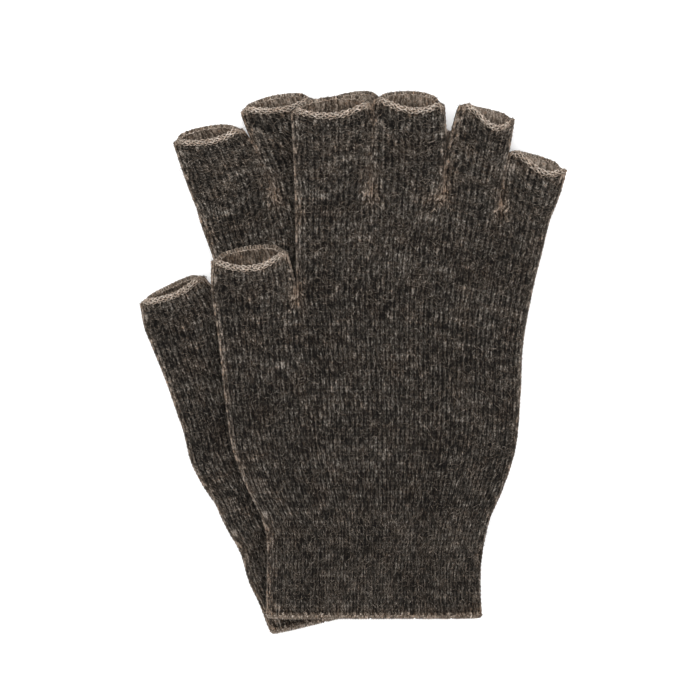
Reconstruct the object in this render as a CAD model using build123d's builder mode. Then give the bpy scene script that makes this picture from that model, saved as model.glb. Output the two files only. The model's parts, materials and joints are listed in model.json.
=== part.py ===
from build123d import *
from math import cos, radians, sin, tan
import os

# A pair of knitted half-finger gloves, lying flat and stacked: the right glove below, the left glove on it.
#
# Millimetres. Each glove is drawn in a flat plan of its own: origin at the middle of the cuff's edge, +Y to the
# fingertips, thumb on the left. The right glove lies palm down on the table, turned a little to the left. The
# left glove lies palm up on it, and its right-hand side sags off the lower glove down to the table.

os.makedirs("parts", exist_ok=True)

# Knitted fabric of an empty glove
knit_wall = 1.6
hollow_height = 5.6
layer_gap = 0.5  # between the two stacked gloves
tube_height = hollow_height + 2 * knit_wall
tube_radius = tube_height / 2
hollow_radius = hollow_height / 2

# How the pair lies
lower_turn = 13.5
lower_slip_x = 1.8
lower_slip_y = -5.4
sag_angle = 12.5
sag_foot = (34.0, 30.0)
sag_lean = 2.8  # degrees from +Y, to the left
crease_step = 1.0  # from the flat part's last centre to the sagging part's first

# Cuff and hand, as the plan's left and right edges from the cuff's edge upwards
cuff_length = 36.0
cuff_left = 38.7
cuff_right = 38.9
wrist_left = 40.5
wrist_right = 43.0
welt_length = 2.6
welt_wall = 2.0
thumb_level = 118.2
knuckle_level = 155.5
palm_edges = [
    (cuff_length, -wrist_left, wrist_right),
    (46.0, -45.5, 46.5),
    (60.0, -50.8, 50.9),
    (80.0, -53.7, 53.3),
    (98.0, -55.3, 53.6),
    (thumb_level, -58.0, 57.4),
]
hand_left = 28.0
finger_palm_edges = [
    (thumb_level, -hand_left, 57.4),
    (135.0, -hand_left - 0.3, 61.7),
    (knuckle_level + 4, -hand_left - 0.8, 67.4),
]

# Finger tubes: base width and slope, length, lean from +Y to the right, mouth width and slope
fingers = {
    "index": (27.2, 0.0, 29.2, -1.6, 28.6, 5.7),
    "middle": (25.6, -4.0, 32.0, 3.6, 24.5, -3.3),
    "ring": (21.4, -12.7, 32.1, 11.0, 20.7, -12.0),
    "little": (19.7, -16.2, 19.4, 13.7, 21.0, -16.9),
}
thumb_width = 30.6
thumb_slope = 4.4
thumb = (thumb_width, thumb_slope, 13.4, -7.3, 27.2, 6.1)
sagging = ("ring", "little")
mouth_dip = 3.0  # the upper layer's edge lies this far back from the fold's end, the lower layer's this far out
edge_length = 2.4
side_gap = 0.3  # from a tube's side to the line between two fingers
fold_gap = 0.3  # between the two bodies that a fold joins, at mid-height
fold_range = 60.0

# Elastic yarn laid into the cuff, and the stitches that close the crotches
elastic_rows = 5
elastic_pitch = 5.6
elastic_width = 0.7
elastic_depth = 0.6
stitch_width = 1.6
stitch_length = 3.6
stitch_back = 3.2  # from the crotch to the stitches' near end

end_spare = 1.0  # a hollow's or a tube's excess length before its ends are cut
tool_size = 60.0  # of a cutting tool, longer than any finger


class Glove:
    """One glove's place: a plane for its flat part and one for the part that sags."""

    def __init__(self, side, height, turn, corner, slip, sag, bevel):
        self.side = side
        self.bevel = bevel
        pivot = Plane(origin=(corner[0] + slip[0], corner[1] + slip[1], height)).rotated((0, 0, turn))
        self.flat = Plane(
            origin=pivot.from_local_coords((-corner[0], -corner[1], 0)), x_dir=pivot.x_dir, z_dir=pivot.z_dir
        )
        self.slope = Plane(origin=self.at(*sag_foot)).rotated((0, sag, 0)).rotated((0, 0, sag_lean + turn))

    def at(self, x, y, z=0.0):
        """A point of the flat plan, in the pair's frame."""
        return Vector(self.flat.from_local_coords((x, y, z)))

    def at_sag(self, x, y, z=0.0):
        """The same point carried down with the sagging side."""
        across = x - sag_foot[0]
        along = y - sag_foot[1]
        lean = radians(sag_lean)
        local = (across * cos(lean) + along * sin(lean), along * cos(lean) - across * sin(lean), z)
        return Vector(self.slope.from_local_coords(local))


def sag_line(y):
    """Where the sagging side begins at this height of the plan."""
    return sag_foot[0] - (y - sag_foot[1]) * tan(radians(sag_lean))


def section(left, right, up):
    """The plane of a cross-section through two points, X from left to right and Y up."""
    return Plane(origin=(left + right) * 0.5, x_dir=right - left, z_dir=(right - left).cross(up))


def tube(stations, radius, up, mode=Mode.ADD):
    """A flattened tube through pairs of points, which are the centres of its rounded sides."""
    profiles = []
    for left, right in stations:
        with BuildSketch(section(left, right, up)) as profile:
            SlotCenterToCenter((right - left).length, 2 * radius)
        profiles.append(profile.sketch)
    loft(profiles, ruled=True, mode=mode)


def run_out(stations, distance):
    """The same stations with a further one beyond each end, in line."""
    (first, second), (before, last) = stations[:2], stations[-2:]
    start = tuple(a + (a - b).normalized() * distance for a, b in zip(first, second))
    end = tuple(a + (a - b).normalized() * distance for a, b in zip(last, before))
    return [start, *stations, end]


def hand_stations(glove, edges):
    """Stations of the flat part and of the sagging part of a stretch of the hand."""
    flat = []
    sag = []
    for y, left, right in edges:
        bend = sag_line(y)
        flat.append((glove.at(left + tube_radius, y), glove.at(bend, y)))
        sag.append((glove.at_sag(bend + crease_step, y), glove.at_sag(right - tube_radius, y)))
    return flat, sag


def hand_shell(glove, edges):
    """The knitted tube round a stretch of the hand, open at both ends."""
    flat, sag = hand_stations(glove, edges)
    tube(run_out(flat, end_spare), tube_radius, glove.flat.z_dir)
    tube(run_out(sag, end_spare), tube_radius, glove.slope.z_dir)
    tube(run_out(flat, 2 * end_spare), hollow_radius, glove.flat.z_dir, Mode.SUBTRACT)
    tube(run_out(sag, 2 * end_spare), hollow_radius, glove.slope.z_dir, Mode.SUBTRACT)
    low, high = edges[0][0], edges[-1][0]
    split(bisect_by=Plane(origin=glove.at(0, low), z_dir=glove.flat.y_dir), keep=Keep.TOP)
    split(bisect_by=Plane(origin=glove.at(0, high), z_dir=glove.flat.y_dir), keep=Keep.BOTTOM)


def trim_at_fold(left, right, up, side, bevel, reach=tool_size):
    """Cuts away what lies beyond a fold (side 1) or before it (side -1), and bevels it for room to fold."""
    across = (right - left).normalized()
    middle = (left + right) * 0.5
    away = up.cross(across) * side
    run = tube_height * tan(radians(bevel))
    near = -fold_gap / 2
    with BuildSketch(Plane(origin=middle, x_dir=away, z_dir=away.cross(up))) as waste:
        with BuildLine():
            Polyline(
                (near, 0),
                (near - run, tube_height),
                (tool_size, tube_height),
                (tool_size, -tube_height),
                (near - run, -tube_height),
                close=True,
            )
        make_face()
    extrude(waste.sketch, amount=reach, both=True, mode=Mode.SUBTRACT)


def finger_start(name):
    """The left end of a finger's base line in the plan, which is the crotch on its left."""
    if name == "thumb":
        turn = radians(thumb_slope)
        return (-hand_left - thumb_width * cos(turn), thumb_level - thumb_width * sin(turn))
    x, y = -hand_left - 0.6, knuckle_level
    for other in list(fingers)[: list(fingers).index(name)]:
        width, slope = fingers[other][:2]
        x += width * cos(radians(slope))
        y += width * sin(radians(slope))
    return (x, y)


def finger_frame(glove, name):
    """The ends of a finger's base line and mouth line, and the direction out of the glove's plane."""
    width, slope, length, lean, mouth_width, mouth_slope = thumb if name == "thumb" else fingers[name]
    sags = name in sagging
    place = glove.at_sag if sags else glove.at
    up = glove.slope.z_dir if sags else glove.flat.z_dir
    x, y = finger_start(name)
    across_x = width * cos(radians(slope))
    across_y = width * sin(radians(slope))
    mouth_x = x + across_x / 2 + length * sin(radians(lean))
    mouth_y = y + across_y / 2 + length * cos(radians(lean))
    half_x = mouth_width / 2 * cos(radians(mouth_slope))
    half_y = mouth_width / 2 * sin(radians(mouth_slope))
    base = (place(x, y), place(x + across_x, y + across_y))
    mouth = (place(mouth_x - half_x, mouth_y - half_y), place(mouth_x + half_x, mouth_y + half_y))
    return *base, *mouth, up


def finger_tube(glove, name, start, end):
    """The stretch of a finger's tube between two distances from its mouth; start None is its base."""
    left, right, mouth_left, mouth_right, up = finger_frame(glove, name)
    inset = tube_radius + side_gap
    base = (right - left).normalized() * inset
    rim = (mouth_right - mouth_left).normalized() * tube_radius
    stations = [(left + base, right - base), (mouth_left + rim, mouth_right - rim)]
    tube(run_out(stations, 2 * mouth_dip)[1:], tube_radius, up)
    tube(run_out(stations, 3 * mouth_dip), hollow_radius, up, Mode.SUBTRACT)
    across = (mouth_right - mouth_left).normalized()
    outward = up.cross(across)
    opening = up * mouth_dip + outward * tube_radius
    middle = (mouth_left + mouth_right) * 0.5
    split(bisect_by=Plane(origin=middle - outward * end, z_dir=opening), keep=Keep.BOTTOM)
    if start is None:
        trim_at_fold(left, right, up, -1, glove.bevel)
    else:
        split(bisect_by=Plane(origin=middle - outward * start, z_dir=opening), keep=Keep.TOP)


def cuff_edges(low, high):
    """The plan's edges of the cuff between two heights."""
    straight = cuff_length - 8
    heights = [low] + [y for y in (straight,) if low < y < high] + [high]
    edges = []
    for y in heights:
        flare = max(0.0, y - straight) / (cuff_length - straight)
        left = cuff_left + (wrist_left - cuff_left) * flare
        right = cuff_right + (wrist_right - cuff_right) * flare
        edges.append((y, -left, right))
    return edges


def cuff_stations(glove, low, high):
    """Stations of the cuff between two heights."""
    stations = []
    for y, left, right in cuff_edges(low, high):
        stations.append((glove.at(left + tube_radius, y), glove.at(right - tube_radius, y)))
    return stations


def cuff_loop(glove, low, high, outer, inner):
    """A flat loop that follows the cuff's outline, between two radii of its rounded sides."""
    stations = cuff_stations(glove, low, high)
    tube(stations, outer, glove.flat.z_dir)
    tube(run_out(stations, end_spare), inner, glove.flat.z_dir, Mode.SUBTRACT)


def stitch_blocks(glove, crotch, mode):
    """The stitches under one crotch, through the upper and the lower layer."""
    place = glove.at_sag if crotch[0] > sag_line(crotch[1]) else glove.at
    up = glove.slope.z_dir if crotch[0] > sag_line(crotch[1]) else glove.flat.z_dir
    middle = place(crotch[0], crotch[1] - stitch_back - stitch_length / 2)
    for face in (1, -1):
        layer = Plane(origin=middle + up * hollow_radius * face, x_dir=glove.flat.x_dir, z_dir=up)
        with BuildSketch(layer) as stitch:
            SlotOverall(stitch_length, stitch_width, rotation=90)
        extrude(stitch.sketch, amount=knit_wall * face, mode=mode)


def finish(part, node):
    """Names a finished piece and keeps it for writing."""
    part.label = node
    finished[node] = part


def make_cuff(glove):
    """The wrist's tube, the rolled welt on its edge and the elastic yarn inside."""
    side = glove.side
    rows = [welt_length + elastic_pitch * (row + 0.5) for row in range(elastic_rows)]
    up = glove.flat.z_dir

    with BuildPart() as cuff_welt:
        cuff_loop(glove, 0.0, welt_length, tube_radius, tube_radius - welt_wall)
    finish(cuff_welt.part, side + "_cuff_welt")

    with BuildPart() as cuff:
        cuff_loop(glove, welt_length, cuff_length, tube_radius, hollow_radius)
        for y in rows:
            tube(cuff_stations(glove, y, y + elastic_width), hollow_radius + elastic_depth, up, Mode.SUBTRACT)
        trim_at_fold(glove.at(-wrist_left, cuff_length), glove.at(wrist_right, cuff_length), up, 1, glove.bevel)
    finish(cuff.part, side + "_cuff")

    with BuildPart() as cuff_elastic:
        for y in rows:
            cuff_loop(glove, y, y + elastic_width, hollow_radius + elastic_depth, hollow_radius)
    finish(cuff_elastic.part, side + "_cuff_elastic")


def make_hand(glove):
    """The hand below the thumb's crotch, the hand below the fingers and the stitches at the crotches."""
    side = glove.side
    up = glove.flat.z_dir
    thumb_crotch = (-hand_left, thumb_level)
    crotches = [finger_start(name) for name in fingers][1:]

    with BuildPart() as palm:
        hand_shell(glove, palm_edges)
        trim_at_fold(glove.at(-wrist_left, cuff_length), glove.at(wrist_right, cuff_length), up, -1, glove.bevel)
        left, right, _, _, _ = finger_frame(glove, "thumb")
        trim_at_fold(left, right, up, 1, glove.bevel, (right - left).length / 2)
        stitch_blocks(glove, thumb_crotch, Mode.SUBTRACT)
    finish(palm.part, side + "_palm")

    with BuildPart() as finger_palm:
        hand_shell(glove, finger_palm_edges)
        for name in fingers:
            left, right, _, _, out = finger_frame(glove, name)
            trim_at_fold(left, right, out, 1, glove.bevel)
        for crotch in crotches:
            stitch_blocks(glove, crotch, Mode.SUBTRACT)
    finish(finger_palm.part, side + "_finger_palm")

    with BuildPart() as crotch_stitches:
        for crotch in [thumb_crotch, *crotches]:
            stitch_blocks(glove, crotch, Mode.ADD)
    finish(crotch_stitches.part, side + "_crotch_stitches")


def make_finger(glove, name):
    """One finger's open tube and the looser edge round its mouth."""
    node = glove.side + "_" + name

    with BuildPart() as finger:
        finger_tube(glove, name, None, edge_length)
    finish(finger.part, node)

    with BuildPart() as mouth_edge:
        finger_tube(glove, name, edge_length, 0.0)
    finish(mouth_edge.part, node + "_edge")


finished = {}
lower = Glove("right", tube_radius, lower_turn, (-cuff_left, 0), (lower_slip_x, lower_slip_y), 0, 0)
upper = Glove("left", 3 * tube_radius + layer_gap, 0, (0, 0), (0, 0), sag_angle, fold_range / 2)
for glove in (lower, upper):
    make_cuff(glove)
    make_hand(glove)
    for name in ("thumb", *fingers):
        make_finger(glove, name)

# The origin is on the table, under the middle of the pair's box.
pair = Compound(children=[part.moved(Location()) for part in finished.values()]).bounding_box()
to_origin = Location((-pair.center().X, -pair.center().Y, -pair.min.Z))
for node, part in finished.items():
    placed = part.moved(to_origin)
    placed.label = node
    export_step(placed, "parts/" + node + ".step")

# The lines that the fingers, the thumb and the cuff turn about.
for glove in (lower, upper):
    ends = {name: finger_frame(glove, name)[:2] for name in ("thumb", *fingers)}
    ends["cuff"] = (glove.at(wrist_right, cuff_length), glove.at(-wrist_left, cuff_length))
    for name, (start, end) in ends.items():
        first = Vector(*start) + to_origin.position
        last = Vector(*end) + to_origin.position
        print("turning line", glove.side + "_" + name, *[round(v, 3) for v in (*first, *last)])
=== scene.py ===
import json
import math

import bmesh
import bpy
import numpy as np
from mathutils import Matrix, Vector


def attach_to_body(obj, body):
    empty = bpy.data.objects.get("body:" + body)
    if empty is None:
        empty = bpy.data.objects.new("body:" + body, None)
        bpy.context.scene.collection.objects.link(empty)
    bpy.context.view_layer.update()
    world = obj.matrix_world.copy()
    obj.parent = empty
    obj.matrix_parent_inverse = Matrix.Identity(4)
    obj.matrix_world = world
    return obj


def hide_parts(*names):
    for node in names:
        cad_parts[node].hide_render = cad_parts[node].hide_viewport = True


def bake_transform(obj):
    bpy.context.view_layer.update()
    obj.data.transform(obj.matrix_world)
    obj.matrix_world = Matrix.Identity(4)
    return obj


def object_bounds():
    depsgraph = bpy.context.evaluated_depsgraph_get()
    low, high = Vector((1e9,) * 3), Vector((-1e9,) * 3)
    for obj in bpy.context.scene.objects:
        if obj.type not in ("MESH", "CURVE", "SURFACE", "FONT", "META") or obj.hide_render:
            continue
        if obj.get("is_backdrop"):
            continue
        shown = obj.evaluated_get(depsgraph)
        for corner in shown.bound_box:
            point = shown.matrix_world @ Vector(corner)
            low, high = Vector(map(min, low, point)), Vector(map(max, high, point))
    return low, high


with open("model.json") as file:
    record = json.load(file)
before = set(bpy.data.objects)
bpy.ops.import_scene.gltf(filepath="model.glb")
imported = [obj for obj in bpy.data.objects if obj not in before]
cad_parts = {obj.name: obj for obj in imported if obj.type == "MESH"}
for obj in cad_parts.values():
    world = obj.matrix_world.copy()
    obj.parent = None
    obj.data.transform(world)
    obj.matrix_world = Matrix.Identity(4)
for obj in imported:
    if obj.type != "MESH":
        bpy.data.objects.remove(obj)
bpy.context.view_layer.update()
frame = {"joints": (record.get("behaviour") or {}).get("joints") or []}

# All lengths below are millimetres, as in the CAD source, until a mesh is made.
MM = 0.001
TABLE_VIEW = 252.0  # the width that the camera takes in at the gloves

# ---- The glove's plan, as the CAD draws it: origin at the middle of the cuff's edge, +Y to the fingers
CUFF = 36.0
KNUCKLE = 155.5
THUMB_COURSES = 55
HAND_COURSES = 80
CUFF_COURSES = 24
THUMB_TOP = CUFF_COURSES + THUMB_COURSES  # the course of the thumb's crotch, counted from the cuff's edge
KNUCKLE_TOP = CUFF_COURSES + HAND_COURSES  # the course of the finger crotches
THUMB_LEVEL = CUFF + (KNUCKLE - CUFF) * THUMB_COURSES / HAND_COURSES
# The hand's outer edges and the hand's left edge above the thumb, as (height, distance to the right) pairs
LEFT_EDGE = ((0, -38.9), (8, -38.5), (27, -38.3), (36, -40.3), (46, -45.3), (60, -50.6), (80, -53.7))
LEFT_EDGE += ((98, -55.6), (116, -58.4))
HAND_LEFT = ((118, -28.0), (135, -28.2), (156, -28.6))
RIGHT_EDGE = ((0, 39.1), (8, 38.3), (16, 38.3), (22, 38.8), (29, 40.1), (36, 42.0), (46, 46.4), (60, 51.1))
RIGHT_EDGE += ((80, 53.2), (98, 54.2))
RIGHT_EDGE += ((118, 58.0), (135, 62.4), (160, 68.6))
# Each finger's base width, base slope and length, as in the CAD
SHAPES = {
    "thumb": (30.6, 4.4, 13.4),
    "index": (27.2, 0.0, 29.2),
    "middle": (25.6, -4.0, 32.0),
    "ring": (21.4, -12.7, 32.1),
    "little": (19.7, -16.2, 19.4),
}
# How each finger lies limp: its length, lean to the right, mouth width and mouth slope
LIES = {
    "left": {
        "thumb": (14.3, -6.6, 27.2, 6.9),
        "index": (29.2, -0.4, 29.8, 5.5),
        "middle": (32.1, 2.1, 25.5, -3.3),
        "ring": (32.9, 11.6, 21.4, -11.0),
        "little": (20.9, 16.0, 23.2, -14.6),
    },
    "right": {
        "thumb": (13.4, -10.9, 24.7, 10.6),
        "index": (26.5, -10.6, 25.9, -2.6),
        "middle": (32.2, -7.2, 27.6, -3.2),
        "ring": (30.6, 0.6, 22.0, -9.0),
        "little": (19.0, 9.0, 20.6, -14.0),
    },
}
CUFF_SHIFT = (-3.3, -1.9)  # how far the lower glove's cuff has slid to the left and down
WRIST_SHIFT, INDEX_SHIFT = 1.6, 1.3  # how much further its left edge has slid there
FINGERS = list(SHAPES)
WALES = {"thumb": 16, "index": 14, "middle": 13, "ring": 11, "little": 10}
WALE_START = {f: sum(WALES[g] for g in FINGERS[: FINGERS.index(f)]) for f in FINGERS}
COURSE = (KNUCKLE - CUFF) / HAND_COURSES
WALE = 1.95  # a wale's usual width
COLS, ROWS = 4, 3  # mesh columns per wale and rows per course
# How far each mouth's front lip dips below the line between its corners, and its back lip rises above it
DIPS = {
    "left": dict(zip(FINGERS, ((4.4, 2.4), (3.8, 3.1), (3.8, 3.1), (5.7, 0.5), (4.2, 1.3)))),
    "right": dict(zip(FINGERS, ((2.7, 1.0), (3.4, 3.2), (2.8, 3.0), (4.0, 2.4), (4.0, 1.3)))),
}
DIP_SKEW = {"thumb": 1.0, "index": 1.0, "middle": 1.2, "ring": 1.6, "little": 1.5}  # over 1 dips to the right
BULGE = 0.95  # how much a finger swells towards its neighbour
# How much some fingers swell to their left and to their right
OUTER_BULGE = {
    ("right", "index"): (0.9, BULGE),
    ("left", "little"): (BULGE, 0.9),
    ("left", "ring"): (BULGE, 0.2),
}
NECK = 1.0  # how much each folded side draws in at a mouth
CORNER = 1.1  # how much a mouth's corners are rounded off
CORNER_REACH = 1.7  # how far in from a corner that reaches
CUFF_CORNER = 0.9  # how much the cuff's corners draw in

# ---- Cross-sections
HALF_THICK = 4.08  # from the middle of a tube to its fabric's outer face, under the stitches' ridges
SIDE_ROUND = 5.6  # how far in from a folded side the tube rounds off
VALLEY_REACH = 2.3  # how much longer than wide the valley below a crotch is
WALL = 1.35
FOLD_START = 9.0  # how many courses below a crotch the fabric starts to fold round into the tubes
LEAST_WIDTH = 13.0  # the narrowest tube for which the wales' spread round its sides is worked out
SIDE_SPREAD = 0.55  # how far the wales spread evenly round a folded side, rather than evenly in the plan
SAG_FOOT = (34.0, 30.0)  # a point of the line along which the upper glove bends down to the table
SAG_LEAN = math.radians(2.8)
SAG_ANGLE = math.radians(12.5)
RIPPLE = 0.34  # how much the lying fabric rises and falls
HELD_FLAT = 0.55  # the share of the ripples that is left on the face that lies on the table
LOW_RIPPLE = 0.35  # the share of the ripples on any lower face
SAG_SOFT = 11.0  # half the width of the bend where the upper glove starts to sag


def smooth_line(points):
    """A smooth curve through (y, x) points, as a function of y, with no overshoot."""
    ys, xs = (np.array(v, float) for v in zip(*points))
    step = np.diff(xs) / np.diff(ys)
    slope = np.empty(len(xs))
    mean = 0.5 * (step[1:] + step[:-1])
    slope[1:-1] = np.where(step[1:] * step[:-1] > 0, mean, mean * 0.3)
    slope[0], slope[-1] = step[0], step[-1]

    def at(y):
        y = np.asarray(y, float)
        i = np.clip(np.searchsorted(ys, y) - 1, 0, len(ys) - 2)
        h = ys[i + 1] - ys[i]
        t = np.clip((y - ys[i]) / h, -0.6, 1.6)
        a = (1 + 2 * t) * (1 - t) ** 2
        b = t * (1 - t) ** 2
        c = t * t * (3 - 2 * t)
        d = t * t * (t - 1)
        return a * xs[i] + b * h * slope[i] + c * xs[i + 1] + d * h * slope[i + 1]

    return at


left_edge, hand_left, right_edge = (smooth_line(p) for p in (LEFT_EDGE, HAND_LEFT, RIGHT_EDGE))


def unit(vectors):
    return vectors / np.maximum(np.linalg.norm(vectors, axis=-1, keepdims=True), 1e-9)


def round_loop(points):
    """The direction along a closed line of points."""
    return unit(np.roll(points, -1, 0) - np.roll(points, 1, 0))


def smooth_step(t):
    t = np.clip(t, 0, 1)
    return t * t * (3 - 2 * t)


def base_points():
    """Each finger's base line in the plan, from its left crotch to its right one."""
    ends = {}
    width, slope = SHAPES["thumb"][:2]
    a = math.radians(slope)
    ends["thumb"] = ((-28.0 - width * math.cos(a), THUMB_LEVEL - width * math.sin(a)), (-28.0, THUMB_LEVEL))
    x, y = -28.6, KNUCKLE
    for f in FINGERS[1:]:
        width, slope = SHAPES[f][:2]
        a = math.radians(slope)
        ends[f] = ((x, y), (x + width * math.cos(a), y + width * math.sin(a)))
        x, y = ends[f][1]
    return ends


BASES = base_points()
SPAN = BASES["little"][1][0] - BASES["index"][0][0]
HAND_RIGHT = 57.2  # the hand's right edge, level with the thumb's crotch
THUMB_SHARE = (BASES["thumb"][1][0] - BASES["thumb"][0][0]) / (HAND_RIGHT - BASES["thumb"][0][0])


def mouth_points(glove, f):
    """A finger's mouth line in the plan."""
    length, lean, width, slope = LIES[glove.side][f]
    (x0, y0), (x1, y1) = BASES[f]
    a, b = math.radians(lean), math.radians(slope)
    x = (x0 + x1) / 2 + length * math.sin(a)
    y = (y0 + y1) / 2 + length * math.cos(a)
    dx, dy = width / 2 * math.cos(b), width / 2 * math.sin(b)
    return (x - dx, y - dy), (x + dx, y + dy)


def crotch_course(f):
    """The course at which a finger's tube begins."""
    return THUMB_TOP if f == "thumb" else KNUCKLE_TOP


def tube_courses(f):
    return max(6, round(SHAPES[f][2] / COURSE))


def side_fill(q, width, left, right):
    """How far across a stretch a wale lies, where its left and right sides fold round (1) or run on (0)."""
    r = SIDE_ROUND
    quarter = math.pi / 2 * math.sqrt((r * r + HALF_THICK**2) / 2)

    def arc(s):
        turned = r * (1 - np.cos(np.clip(s / quarter, 0, 1) * math.pi / 2))
        return np.where(s < quarter, turned, r + s - quarter)

    one = width - r + quarter
    both = width - 2 * r + 2 * quarter
    from_left = arc(q * one) / width
    from_right = 1 - arc((1 - q) * one) / width
    s = q * both
    twice = np.where(s < both / 2, arc(s), width - arc(both - s)) / width
    left, right = left * SIDE_SPREAD, right * SIDE_SPREAD
    flat = (1 - left) * (1 - right) * q
    return flat + left * (1 - right) * from_left + (1 - left) * right * from_right + left * right * twice


def rounding(d, radius=SIDE_ROUND):
    return np.sqrt(np.clip(1 - (1 - np.clip(d / radius, 0, 1)) ** 2, 0, 1))


def hand_boundaries(f, v):
    """The plan's x and y of a finger's left and right limits, at courses of the hand."""
    up = (v - CUFF_COURSES) / HAND_COURSES

    def heights(top):
        return np.where(v <= CUFF_COURSES, v * COURSE, CUFF + (top - CUFF) * up)

    thumb_rise = (BASES["thumb"][0][1] - CUFF) * up * HAND_COURSES / THUMB_COURSES
    y_far_left = np.where(v <= CUFF_COURSES, v * COURSE, CUFF + thumb_rise)
    y_left, y_right = heights(KNUCKLE), heights(BASES["little"][1][1])
    far_left, far_right = left_edge(y_far_left), right_edge(y_right)
    crotch_x = far_left + (far_right - far_left) * THUMB_SHARE
    above = smooth_step((v - THUMB_TOP + 0.001) / 0.001)
    first = crotch_x * (1 - above) + hand_left(y_left) * above
    if f == "thumb":
        return far_left, y_far_left, first, y_left
    shares = [(BASES[f][side][0] - BASES["index"][0][0]) / SPAN for side in (0, 1)]
    xs = [first + (far_right - first) * s for s in shares]
    ys = [heights(BASES[f][side][1]) for side in (0, 1)]
    return xs[0], ys[0], xs[1], ys[1]


def plan(glove, f, q, v, face):
    """Plan x and y, the share of the full half-thickness and the share across, at place q and course v.

    q runs from 0 to 1 across the finger's wales, also in the hand below it."""
    q, v = np.broadcast_arrays(np.asarray(q, float), np.asarray(v, float))
    start = crotch_course(f)
    below = np.minimum(v, start)
    near = smooth_step(1 - (start - below) / FOLD_START)
    thumb_near = smooth_step(1 - (THUMB_TOP - below) / FOLD_START)
    left = {"thumb": np.ones_like(q), "index": thumb_near}.get(f, near)
    right = {"little": np.ones_like(q)}.get(f, near)
    x0, y0, x1, y1 = hand_boundaries(f, below)
    tuck = CUFF_CORNER * np.clip(1 - v / 2.4, 0, 1) ** 1.5
    x0, x1 = x0 + tuck, x1 - tuck
    width = x1 - x0
    share = side_fill(q, np.maximum(width, LEAST_WIDTH), left, right)
    x = x0 + width * share
    y = y0 + (y1 - y0) * share
    # the courses spread from the base line to the mouth, whose lips dip and rise and whose corners draw in
    past = np.maximum(v - start, 0.0)
    count = tube_courses(f)
    t = past / count
    (mx0, my0), (mx1, my1) = mouth_points(glove, f)
    bow = np.clip(share, 0, 1) ** DIP_SKEW[f]
    bow = np.clip(4 * bow * (1 - bow), 0, 1)
    front, back = DIPS[glove.side][f]
    length = SHAPES[f][2]
    t = t * (1 - (bow**1.2 * front if face > 0 else -(bow**0.55) * back) / length)
    to_side = np.minimum(share, 1 - share) * (mx1 - mx0)
    t = t * (1 - CORNER * np.exp(-((to_side / CORNER_REACH) ** 2)) / length)
    # the tube sets out in the direction of the hand's wales and swells on the way
    hx0, hy0, hx1, hy1 = hand_boundaries(f, np.full_like(q, start - 2.0))
    along_x = (x - (hx0 + (hx1 - hx0) * share)) * count / 2
    along_y = (y - (hy0 + (hy1 - hy0) * share)) * count / 2
    end_x, end_y = mx0 + (mx1 - mx0) * share, my0 + (my1 - my0) * share
    tc = np.clip(t, 0, 1)
    ease = (tc * (1 - tc) ** 2) * 0.8
    inner = (BULGE if f in FINGERS[2:] else 0.0, BULGE if f in FINGERS[1:4] else 0.0)
    to_left, to_right = OUTER_BULGE.get((glove.side, f), inner)
    swell = np.where(share < 0.5, to_left, to_right) * np.sin(np.pi * tc**0.9)
    swell = (swell - NECK * smooth_step((tc - 0.88) / 0.12) ** 2) * (2 * share - 1)
    tube_x = x + (end_x - x) * t + (along_x - (end_x - x)) * ease + swell
    tube_y = y + (end_y - y) * t + (along_y - (end_y - y)) * ease
    x = np.where(past > 0, tube_x, x)
    y = np.where(past > 0, tube_y, y)
    # how nearly a point is at a folded side or in the valley below a crotch
    mouth_width = math.hypot(mx1 - mx0, my1 - my0)
    base_width = width * (1 - t) + mouth_width * t
    full = np.where(past > 0, base_width, width)
    d0, d1 = share * full, (1 - share) * full
    drop = (start - below) * COURSE / VALLEY_REACH
    drop_left = np.maximum(THUMB_TOP - below, 0) * COURSE / VALLEY_REACH if f == "index" else drop
    if f != "thumb":
        d0 = np.hypot(d0, drop_left)
    if f != "little":
        d1 = np.hypot(d1, drop)
    return x, y, rounding(d0) * rounding(d1), share


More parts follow.
